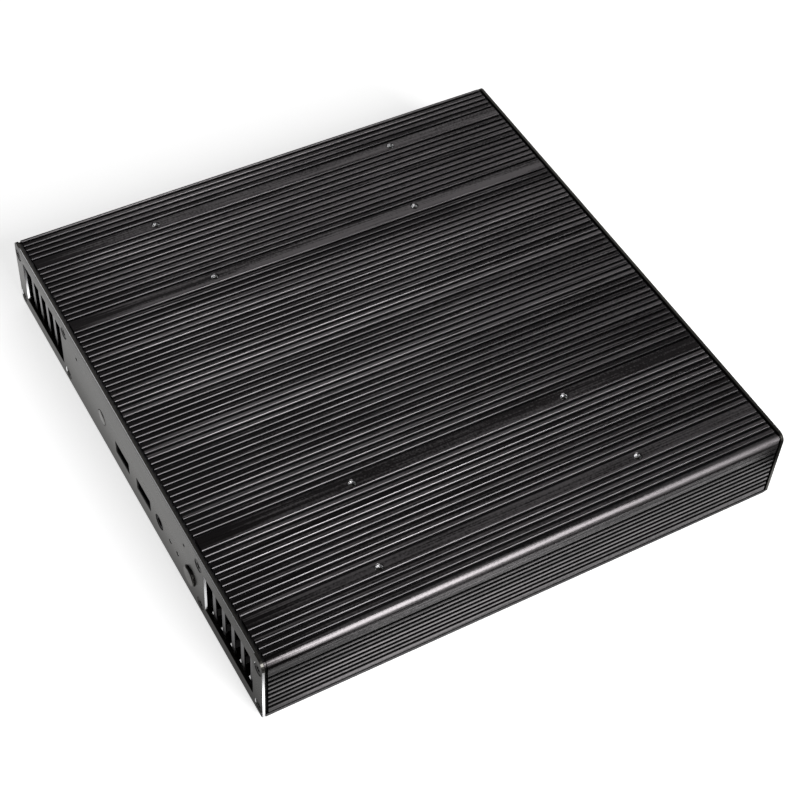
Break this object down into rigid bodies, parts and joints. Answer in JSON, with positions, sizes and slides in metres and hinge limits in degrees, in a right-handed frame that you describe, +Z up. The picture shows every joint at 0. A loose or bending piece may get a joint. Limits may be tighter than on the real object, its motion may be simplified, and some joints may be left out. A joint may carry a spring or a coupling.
{
  "type": "mini pc case",
  "caption": "Low fanless computer case: ribbed aluminium extrusion over a flat base, slotted front vents, front sockets and a sprung round push button, open rear aperture for a small main board",
  "frame": {"origin": "on the ground, below the middle of the case and its button", "axes": "+X to the right along the front panel, +Y from the front panel to the rear panel, +Z up"},
  "size_m": [0.2364, 0.231, 0.038],
  "materials": {
    "anodised": "satin black anodised",
    "panel_steel": "satin black",
    "screw_black": "black oxide",
    "zinc": "zinc plated",
    "milled": "milled",
    "copper": "bare copper",
    "black_plastic": "moulded black",
    "clear_plastic": "clear",
    "lens": "smoked",
    "board": "solder mask",
    "rubber": "matte"
  },
  "bodies": {
    "case": {"extruded_shell": "anodised", "base_plate": "anodised", "front_panel": "panel_steel", "rear_panel": "panel_steel", "vent_grille_left": "panel_steel", "vent_grille_right": "panel_steel", "front_screw_1": "screw_black", "front_screw_2": "screw_black", "front_screw_3": "screw_black", "front_screw_4": "screw_black", "front_screw_5": "screw_black", "front_screw_6": "screw_black", "front_screw_7": "screw_black", "front_screw_8": "screw_black", "rear_screw_1": "screw_black", "rear_screw_2": "screw_black", "rear_screw_3": "screw_black", "rear_screw_4": "screw_black", "base_screw_1": "screw_black", "base_screw_2": "screw_black", "base_screw_3": "screw_black", "base_screw_4": "screw_black", "base_screw_5": "screw_black", "base_screw_6": "screw_black", "bracket_screw_1": "screw_black", "bracket_screw_2": "screw_black", "board_screw_1": "zinc", "board_screw_2": "zinc", "board_standoff_1": "zinc", "board_standoff_2": "zinc", "board_standoff_3": "zinc", "board_standoff_4": "zinc", "grille_nut_left_low": "zinc", "grille_nut_left_high": "zinc", "grille_nut_right_low": "zinc", "grille_nut_right_high": "zinc", "port_bracket": "zinc", "drive_plate_left": "zinc", "drive_plate_right": "zinc", "contact_block": "milled", "pipe_clamp_front": "milled", "pipe_clamp_rear": "milled", "heat_pipe_left": "copper", "heat_pipe_right": "copper", "usb_socket_left": "black_plastic", "usb_socket_right": "black_plastic", "audio_jack": "black_plastic", "light_holder": "black_plastic", "power_switch": "black_plastic", "status_light_drive": "clear_plastic", "status_light_power": "clear_plastic", "infrared_lens": "lens", "port_board": "board", "foot_front_left": "rubber", "foot_front_right": "rubber", "foot_rear_left": "rubber", "foot_rear_right": "rubber"},
    "button": {"power_button": "black_plastic"}
  },
  "joints": [
    {"name": "power_button_press", "type": "slide", "parent": "case", "child": "button", "axis": [0, 1, 0], "range_m": [0, 0.0008], "stiffness_N_per_m": 800}
  ]
}
